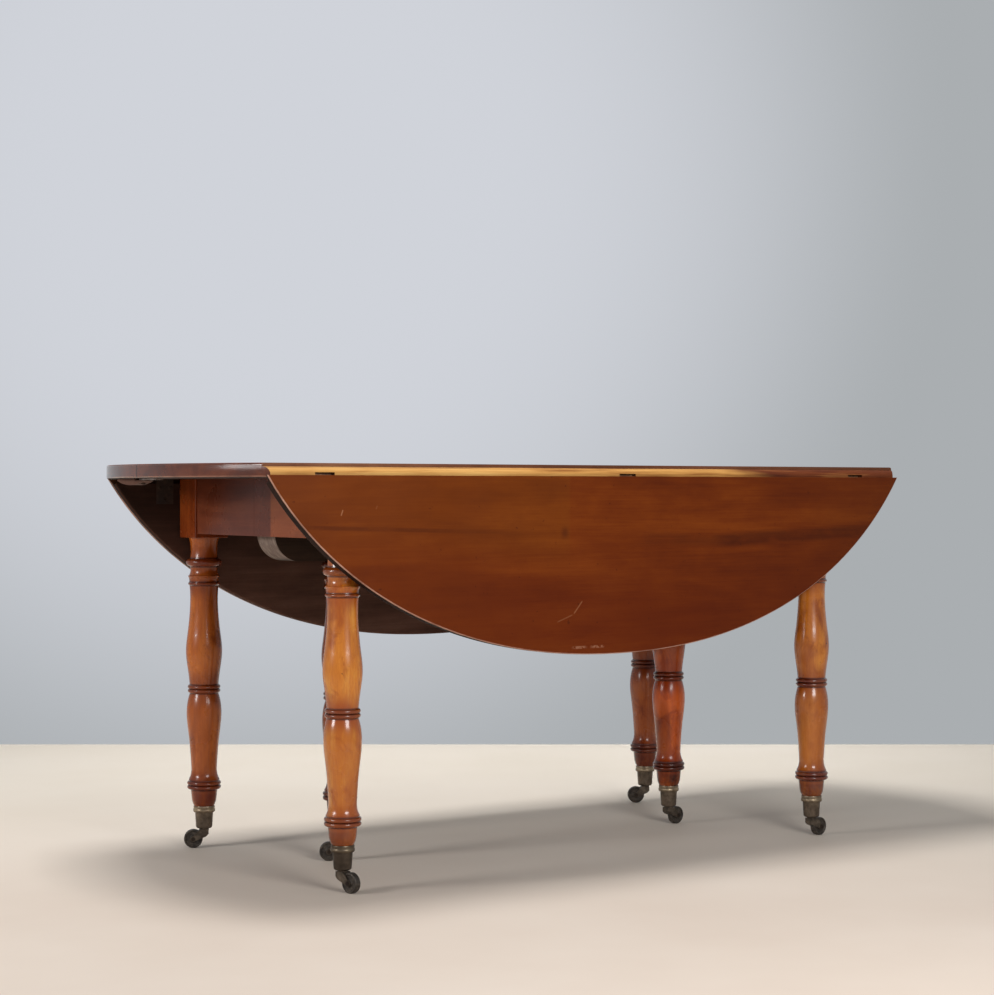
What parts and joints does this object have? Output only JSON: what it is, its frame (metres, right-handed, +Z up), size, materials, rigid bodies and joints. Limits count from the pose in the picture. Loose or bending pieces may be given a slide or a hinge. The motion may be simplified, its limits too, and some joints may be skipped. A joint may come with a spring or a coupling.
{
  "type": "drop-leaf table",
  "caption": "Oval drop-leaf dining table on turned legs with brass cup casters, its top split lengthwise so that both halves slide apart.",
  "frame": {"origin": "on the floor under the middle of the table", "axes": "+X along the table, parallel to the leaf hinges, +Y across it towards the far half, +Z up"},
  "size_m": [1.602, 0.671, 0.74],
  "materials": {
    "table_top_wood": "french polished",
    "turned_leg_wood": "french polished",
    "apron_wood": "french polished",
    "beam_wood": "stained",
    "inner_wood": "unfinished",
    "hinge_iron": "aged",
    "screw_steel": "aged",
    "cup_bronze": "aged dark",
    "fork_iron": "aged dark",
    "wheel_iron": "aged dark",
    "latch_brass": "worn"
  },
  "bodies": {
    "carriage": {"centre_beam": "beam_wood", "slide_bearers": "inner_wood", "left_centre_leg": "turned_leg_wood", "right_centre_leg": "turned_leg_wood", "centre_caster_cups": "cup_bronze"},
    "near_half": {"near_top": "table_top_wood", "near_side_apron": "apron_wood", "near_left_apron": "apron_wood", "near_right_apron": "apron_wood", "near_left_leg": "turned_leg_wood", "near_right_leg": "turned_leg_wood", "near_caster_cups": "cup_bronze", "near_outer_slides": "inner_wood", "near_top_hinge_flaps": "hinge_iron", "near_lopers": "inner_wood", "near_loper_keepers": "inner_wood", "near_top_screws": "screw_steel", "joint_pegs": "inner_wood"},
    "near_middle_slides": {"near_middle_slides": "inner_wood"},
    "near_leaf": {"near_leaf": "table_top_wood", "near_leaf_hinge_flaps": "hinge_iron", "near_hinge_pins": "hinge_iron"},
    "far_half": {"far_top": "table_top_wood", "far_side_apron": "apron_wood", "far_left_apron": "apron_wood", "far_right_apron": "apron_wood", "far_left_leg": "turned_leg_wood", "far_right_leg": "turned_leg_wood", "far_caster_cups": "cup_bronze", "far_outer_slides": "inner_wood", "far_top_hinge_flaps": "hinge_iron", "far_lopers": "inner_wood", "far_loper_keepers": "inner_wood", "far_top_screws": "screw_steel", "latch_cleats": "inner_wood", "latch_screws": "screw_steel"},
    "far_middle_slides": {"far_middle_slides": "inner_wood"},
    "far_leaf": {"far_leaf": "table_top_wood", "far_leaf_hinge_flaps": "hinge_iron", "far_hinge_pins": "hinge_iron"},
    "left_latch": {"left_latch": "latch_brass"},
    "right_latch": {"right_latch": "latch_brass"},
    "near_left_swivel": {"near_left_caster_fork": "fork_iron", "near_left_caster_axle": "fork_iron"},
    "near_left_wheel": {"near_left_caster_wheel": "wheel_iron"},
    "near_right_swivel": {"near_right_caster_fork": "fork_iron", "near_right_caster_axle": "fork_iron"},
    "near_right_wheel": {"near_right_caster_wheel": "wheel_iron"},
    "far_left_swivel": {"far_left_caster_fork": "fork_iron", "far_left_caster_axle": "fork_iron"},
    "far_left_wheel": {"far_left_caster_wheel": "wheel_iron"},
    "far_right_swivel": {"far_right_caster_fork": "fork_iron", "far_right_caster_axle": "fork_iron"},
    "far_right_wheel": {"far_right_caster_wheel": "wheel_iron"},
    "left_centre_swivel": {"left_centre_caster_fork": "fork_iron", "left_centre_caster_axle": "fork_iron"},
    "left_centre_wheel": {"left_centre_caster_wheel": "wheel_iron"},
    "right_centre_swivel": {"right_centre_caster_fork": "fork_iron", "right_centre_caster_axle": "fork_iron"},
    "right_centre_wheel": {"right_centre_caster_wheel": "wheel_iron"}
  },
  "joints": [
    {"name": "near_half_slide", "type": "slide", "parent": "carriage", "child": "near_half", "axis": [0, -1, 0], "range_m": [0, 0.48]},
    {"name": "near_middle_slide", "type": "slide", "parent": "carriage", "child": "near_middle_slides", "axis": [0, -1, 0], "range_m": [0, 0.24]},
    {"name": "near_leaf_hinge", "type": "hinge", "parent": "near_half", "child": "near_leaf", "pos_m": [0, -0.3155, 0.72], "axis": [-1, 0, 0], "range_deg": [0, 90]},
    {"name": "far_half_slide", "type": "slide", "parent": "carriage", "child": "far_half", "axis": [0, 1, 0], "range_m": [0, 0.48]},
    {"name": "far_middle_slide", "type": "slide", "parent": "carriage", "child": "far_middle_slides", "axis": [0, 1, 0], "range_m": [0, 0.24]},
    {"name": "far_leaf_hinge", "type": "hinge", "parent": "far_half", "child": "far_leaf", "pos_m": [0, 0.3155, 0.72], "axis": [1, 0, 0], "range_deg": [0, 90]},
    {"name": "left_latch_turn", "type": "hinge", "parent": "far_half", "child": "left_latch", "pos_m": [-0.768, 0.045, 0.7133], "axis": [0, 0, 1], "range_deg": [0, 90]},
    {"name": "right_latch_turn", "type": "hinge", "parent": "far_half", "child": "right_latch", "pos_m": [0.768, 0.045, 0.7133], "axis": [0, 0, -1], "range_deg": [0, 90]},
    {"name": "near_left_swivel_turn", "type": "hinge", "parent": "near_half", "child": "near_left_swivel", "pos_m": [-0.5385, -0.2735, 0.04], "axis": [0, 0, 1], "continuous": true},
    {"name": "near_left_wheel_roll", "type": "hinge", "parent": "near_left_swivel", "child": "near_left_wheel", "pos_m": [-0.53314, -0.29349, 0.018], "axis": [0.9659, 0.2588, 0], "continuous": true},
    {"name": "near_right_swivel_turn", "type": "hinge", "parent": "near_half", "child": "near_right_swivel", "pos_m": [0.5385, -0.2735, 0.04], "axis": [0, 0, 1], "continuous": true},
    {"name": "near_right_wheel_roll", "type": "hinge", "parent": "near_right_swivel", "child": "near_right_wheel", "pos_m": [0.55909, -0.27134, 0.018], "axis": [-0.1045, 0.9945, 0], "continuous": true},
    {"name": "far_left_swivel_turn", "type": "hinge", "parent": "far_half", "child": "far_left_swivel", "pos_m": [-0.5385, 0.2735, 0.04], "axis": [0, 0, 1], "continuous": true},
    {"name": "far_left_wheel_roll", "type": "hinge", "parent": "far_left_swivel", "child": "far_left_wheel", "pos_m": [-0.55694, 0.2829, 0.018], "axis": [-0.454, -0.891, 0], "continuous": true},
    {"name": "far_right_swivel_turn", "type": "hinge", "parent": "far_half", "child": "far_right_swivel", "pos_m": [0.5385, 0.2735, 0.04], "axis": [0, 0, 1], "continuous": true},
    {"name": "far_right_wheel_roll", "type": "hinge", "parent": "far_right_swivel", "child": "far_right_wheel", "pos_m": [0.52057, 0.28385, 0.018], "axis": [-0.5, -0.866, 0], "continuous": true},
    {"name": "left_centre_swivel_turn", "type": "hinge", "parent": "carriage", "child": "left_centre_swivel", "pos_m": [-0.39, 0, 0.04], "axis": [0, 0, 1], "continuous": true},
    {"name": "left_centre_wheel_roll", "type": "hinge", "parent": "left_centre_swivel", "child": "left_centre_wheel", "pos_m": [-0.40793, 0.01035, 0.018], "axis": [-0.5, -0.866, 0], "continuous": true},
    {"name": "right_centre_swivel_turn", "type": "hinge", "parent": "carriage", "child": "right_centre_swivel", "pos_m": [0.39, 0, 0.04], "axis": [0, 0, 1], "continuous": true},
    {"name": "right_centre_wheel_roll", "type": "hinge", "parent": "right_centre_swivel", "child": "right_centre_wheel", "pos_m": [0.4105, 0.00288, 0.018], "axis": [-0.1392, 0.9903, 0], "continuous": true}
  ],
  "couplings": [
    {"joint": "near_middle_slide", "follows": "near_half_slide", "ratio": 0.5},
    {"joint": "far_middle_slide", "follows": "far_half_slide", "ratio": 0.5}
  ]
}
